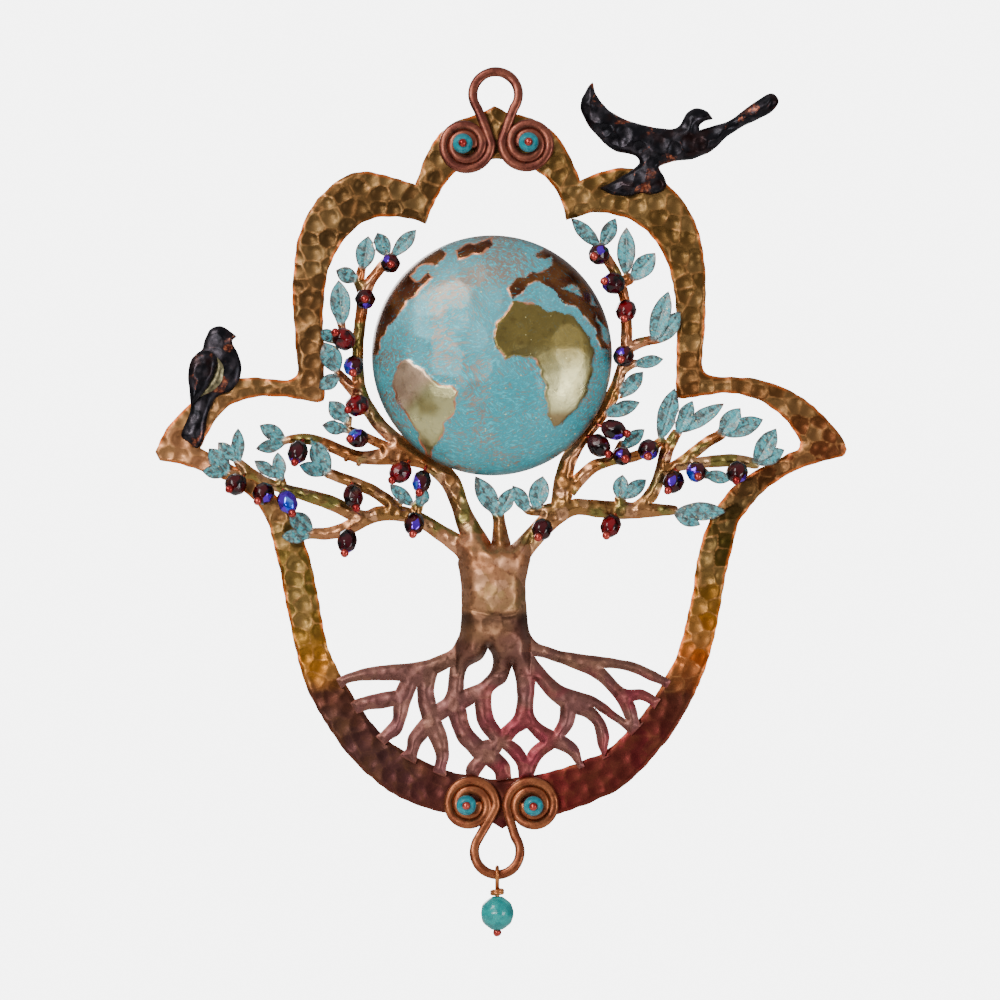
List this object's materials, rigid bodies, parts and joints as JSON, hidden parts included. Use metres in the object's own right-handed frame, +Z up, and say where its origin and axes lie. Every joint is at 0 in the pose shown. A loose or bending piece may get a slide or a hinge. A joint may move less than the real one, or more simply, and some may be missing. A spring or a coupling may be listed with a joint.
{
  "type": "hamsa tree of life wall hanging",
  "caption": "Open hand-shaped frame of hammered sheet with a beaded tree, domed globe, birds, spiral wire hangers and a swinging bead drop.",
  "frame": {"origin": "the point of the hanging loop that rests on the nail, in the plane of the wall", "axes": "+Z up, -Y out of the wall towards the viewer, +X to the viewer's right"},
  "size_m": [0.1726, 0.0168, 0.217],
  "materials": {
    "olive_brass": "hammered, heat-patinated",
    "brown_copper": "hammered, heat-patinated copper",
    "verdigris_copper": "painted and patinated copper",
    "blackened_copper": "blackened, rubbed copper",
    "pale_brass": "satin",
    "red_brown_wire": "heat-patinated copper wire",
    "orange_brown_wire": "heat-patinated copper wire",
    "golden_copper_wire": "polished copper wire",
    "pink_copper": "fired copper",
    "garnet_glass": "faceted dark glass",
    "turquoise": "polished",
    "teal_glass": "faceted opaque glass"
  },
  "bodies": {
    "hanging": {"hamsa_frame": "olive_brass", "tree": "brown_copper", "globe": "verdigris_copper", "perched_bird_body": "blackened_copper", "perched_bird_wing": "blackened_copper", "perched_bird_patch": "pale_brass", "flying_bird": "blackened_copper", "top_hanger": "red_brown_wire", "bottom_hanger": "orange_brown_wire", "rivet_top_left": "pink_copper", "rivet_top_right": "pink_copper", "rivet_bottom_left": "pink_copper", "rivet_bottom_right": "pink_copper"},
    "drop": {"drop_pin": "golden_copper_wire"},
    "drop_bead": {"drop_bead": "teal_glass"},
    "garnet_bead_01": {"garnet_bead_01": "garnet_glass"},
    "garnet_bead_02": {"garnet_bead_02": "garnet_glass"},
    "garnet_bead_03": {"garnet_bead_03": "garnet_glass"},
    "garnet_bead_04": {"garnet_bead_04": "garnet_glass"},
    "garnet_bead_05": {"garnet_bead_05": "garnet_glass"},
    "garnet_bead_06": {"garnet_bead_06": "garnet_glass"},
    "garnet_bead_07": {"garnet_bead_07": "garnet_glass"},
    "garnet_bead_08": {"garnet_bead_08": "garnet_glass"},
    "garnet_bead_09": {"garnet_bead_09": "garnet_glass"},
    "garnet_bead_10": {"garnet_bead_10": "garnet_glass"},
    "garnet_bead_11": {"garnet_bead_11": "garnet_glass"},
    "garnet_bead_12": {"garnet_bead_12": "garnet_glass"},
    "garnet_bead_13": {"garnet_bead_13": "garnet_glass"},
    "garnet_bead_14": {"garnet_bead_14": "garnet_glass"},
    "garnet_bead_15": {"garnet_bead_15": "garnet_glass"},
    "garnet_bead_16": {"garnet_bead_16": "garnet_glass"},
    "garnet_bead_17": {"garnet_bead_17": "garnet_glass"},
    "garnet_bead_18": {"garnet_bead_18": "garnet_glass"},
    "garnet_bead_19": {"garnet_bead_19": "garnet_glass"},
    "garnet_bead_20": {"garnet_bead_20": "garnet_glass"},
    "garnet_bead_21": {"garnet_bead_21": "garnet_glass"},
    "garnet_bead_22": {"garnet_bead_22": "garnet_glass"},
    "garnet_bead_23": {"garnet_bead_23": "garnet_glass"},
    "garnet_bead_24": {"garnet_bead_24": "garnet_glass"},
    "garnet_bead_25": {"garnet_bead_25": "garnet_glass"},
    "garnet_bead_26": {"garnet_bead_26": "garnet_glass"},
    "garnet_bead_27": {"garnet_bead_27": "garnet_glass"},
    "garnet_bead_28": {"garnet_bead_28": "garnet_glass"},
    "turquoise_bead_top_left": {"turquoise_bead_top_left": "turquoise"},
    "turquoise_bead_top_right": {"turquoise_bead_top_right": "turquoise"},
    "turquoise_bead_bottom_left": {"turquoise_bead_bottom_left": "turquoise"},
    "turquoise_bead_bottom_right": {"turquoise_bead_bottom_right": "turquoise"}
  },
  "joints": [
    {"name": "drop_swing", "type": "hinge", "parent": "hanging", "child": "drop", "pos_m": [0.0003, -0.0056, -0.1994], "axis": [1, 0, 0], "range_deg": [-60, 3]},
    {"name": "drop_bead_spin", "type": "hinge", "parent": "drop", "child": "drop_bead", "pos_m": [0.0003, -0.0056, -0.209], "axis": [0, 0, 1], "continuous": true},
    {"name": "garnet_01_spin", "type": "hinge", "parent": "hanging", "child": "garnet_bead_01", "pos_m": [-0.0263, -0.0059, -0.047], "axis": [0.0618, -0.9904, -0.1236], "continuous": true},
    {"name": "garnet_02_spin", "type": "hinge", "parent": "hanging", "child": "garnet_bead_02", "pos_m": [-0.0326, -0.0061, -0.0559], "axis": [0, -0.9996, -0.0291], "continuous": true},
    {"name": "garnet_03_spin", "type": "hinge", "parent": "hanging", "child": "garnet_bead_03", "pos_m": [-0.0379, -0.00652, -0.0659], "axis": [-0.5452, -0.7247, 0.4213], "continuous": true},
    {"name": "garnet_04_spin", "type": "hinge", "parent": "hanging", "child": "garnet_bead_04", "pos_m": [-0.0355, -0.0064, -0.0726], "axis": [-0.0261, -0.8683, -0.4954], "continuous": true},
    {"name": "garnet_05_spin", "type": "hinge", "parent": "hanging", "child": "garnet_bead_05", "pos_m": [-0.0346, -0.00654, -0.0824], "axis": [-0.57, -0.7659, -0.2974], "continuous": true},
    {"name": "garnet_06_spin", "type": "hinge", "parent": "hanging", "child": "garnet_bead_06", "pos_m": [-0.0344, -0.00629, -0.0906], "axis": [-0.5622, -0.8252, -0.0535], "continuous": true},
    {"name": "garnet_07_spin", "type": "hinge", "parent": "hanging", "child": "garnet_bead_07", "pos_m": [-0.0494, -0.00652, -0.0941], "axis": [-0.1693, -0.7382, -0.653], "continuous": true},
    {"name": "garnet_08_spin", "type": "hinge", "parent": "hanging", "child": "garnet_bead_08", "pos_m": [-0.0238, -0.00634, -0.099], "axis": [-0.5737, -0.5847, -0.5737], "continuous": true},
    {"name": "garnet_09_spin", "type": "hinge", "parent": "hanging", "child": "garnet_bead_09", "pos_m": [-0.0185, -0.00745, -0.1014], "axis": [-0.1525, -0.6585, -0.737], "continuous": true},
    {"name": "garnet_10_spin", "type": "hinge", "parent": "hanging", "child": "garnet_bead_10", "pos_m": [-0.0356, -0.00633, -0.1051], "axis": [0.223, -0.6, -0.7683], "continuous": true},
    {"name": "garnet_11_spin", "type": "hinge", "parent": "hanging", "child": "garnet_bead_11", "pos_m": [-0.0204, -0.00642, -0.1119], "axis": [-0.0743, -0.7162, -0.6939], "continuous": true},
    {"name": "garnet_12_spin", "type": "hinge", "parent": "hanging", "child": "garnet_bead_12", "pos_m": [-0.0648, -0.00637, -0.1021], "axis": [-0.4552, -0.8196, -0.3481], "continuous": true},
    {"name": "garnet_13_spin", "type": "hinge", "parent": "hanging", "child": "garnet_bead_13", "pos_m": [-0.0579, -0.00636, -0.1044], "axis": [-0.4016, -0.743, -0.5355], "continuous": true},
    {"name": "garnet_14_spin", "type": "hinge", "parent": "hanging", "child": "garnet_bead_14", "pos_m": [-0.052, -0.00737, -0.1065], "axis": [0.3386, -0.5992, -0.7255], "continuous": true},
    {"name": "garnet_15_spin", "type": "hinge", "parent": "hanging", "child": "garnet_bead_15", "pos_m": [-0.0371, -0.00636, -0.1162], "axis": [-0.1451, -0.6165, -0.7739], "continuous": true},
    {"name": "garnet_16_spin", "type": "hinge", "parent": "hanging", "child": "garnet_bead_16", "pos_m": [0.0257, -0.0062, -0.0448], "axis": [-0.396, -0.9024, -0.1697], "continuous": true},
    {"name": "garnet_17_spin", "type": "hinge", "parent": "hanging", "child": "garnet_bead_17", "pos_m": [0.0293, -0.00648, -0.052], "axis": [-0.6353, -0.7617, 0.1271], "continuous": true},
    {"name": "garnet_18_spin", "type": "hinge", "parent": "hanging", "child": "garnet_bead_18", "pos_m": [0.0324, -0.00638, -0.0588], "axis": [-0.1304, -0.8086, -0.5737], "continuous": true},
    {"name": "garnet_19_spin", "type": "hinge", "parent": "hanging", "child": "garnet_bead_19", "pos_m": [0.0318, -0.00642, -0.0701], "axis": [-0.2038, -0.9347, -0.2911], "continuous": true},
    {"name": "garnet_20_spin", "type": "hinge", "parent": "hanging", "child": "garnet_bead_20", "pos_m": [0.0293, -0.00786, -0.0885], "axis": [0.8674, -0.4315, -0.2478], "continuous": true},
    {"name": "garnet_21_spin", "type": "hinge", "parent": "hanging", "child": "garnet_bead_21", "pos_m": [0.0256, -0.00637, -0.0924], "axis": [0.6607, -0.4709, -0.5845], "continuous": true},
    {"name": "garnet_22_spin", "type": "hinge", "parent": "hanging", "child": "garnet_bead_22", "pos_m": [0.0314, -0.00861, -0.0951], "axis": [0.2552, -0.9408, -0.2233], "continuous": true},
    {"name": "garnet_23_spin", "type": "hinge", "parent": "hanging", "child": "garnet_bead_23", "pos_m": [0.038, -0.00621, -0.0935], "axis": [-0.0566, -0.8749, -0.4809], "continuous": true},
    {"name": "garnet_24_spin", "type": "hinge", "parent": "hanging", "child": "garnet_bead_24", "pos_m": [0.0443, -0.00638, -0.1015], "axis": [-0.4066, -0.7022, -0.5845], "continuous": true},
    {"name": "garnet_25_spin", "type": "hinge", "parent": "hanging", "child": "garnet_bead_25", "pos_m": [0.0499, -0.00692, -0.099], "axis": [0.1199, -0.9253, -0.3598], "continuous": true},
    {"name": "garnet_26_spin", "type": "hinge", "parent": "hanging", "child": "garnet_bead_26", "pos_m": [0.0601, -0.00636, -0.0991], "axis": [-0.0803, -0.8041, -0.589], "continuous": true},
    {"name": "garnet_27_spin", "type": "hinge", "parent": "hanging", "child": "garnet_bead_27", "pos_m": [0.0286, -0.00643, -0.1124], "axis": [-0.2974, -0.7045, -0.6444], "continuous": true},
    {"name": "garnet_28_spin", "type": "hinge", "parent": "hanging", "child": "garnet_bead_28", "pos_m": [0.0115, -0.00712, -0.1133], "axis": [-0.2677, -0.7824, -0.5622], "continuous": true},
    {"name": "turquoise_top_left_spin", "type": "hinge", "parent": "hanging", "child": "turquoise_bead_top_left", "pos_m": [-0.0083, -0.00589, -0.0171], "axis": [0, -1, 0], "continuous": true},
    {"name": "turquoise_top_right_spin", "type": "hinge", "parent": "hanging", "child": "turquoise_bead_top_right", "pos_m": [0.0081, -0.00589, -0.0168], "axis": [0, -1, 0], "continuous": true},
    {"name": "turquoise_bottom_left_spin", "type": "hinge", "parent": "hanging", "child": "turquoise_bead_bottom_left", "pos_m": [-0.0074, -0.00589, -0.1821], "axis": [0, -1, 0], "continuous": true},
    {"name": "turquoise_bottom_right_spin", "type": "hinge", "parent": "hanging", "child": "turquoise_bead_bottom_right", "pos_m": [0.0093, -0.00589, -0.1823], "axis": [0, -1, 0], "continuous": true}
  ]
}
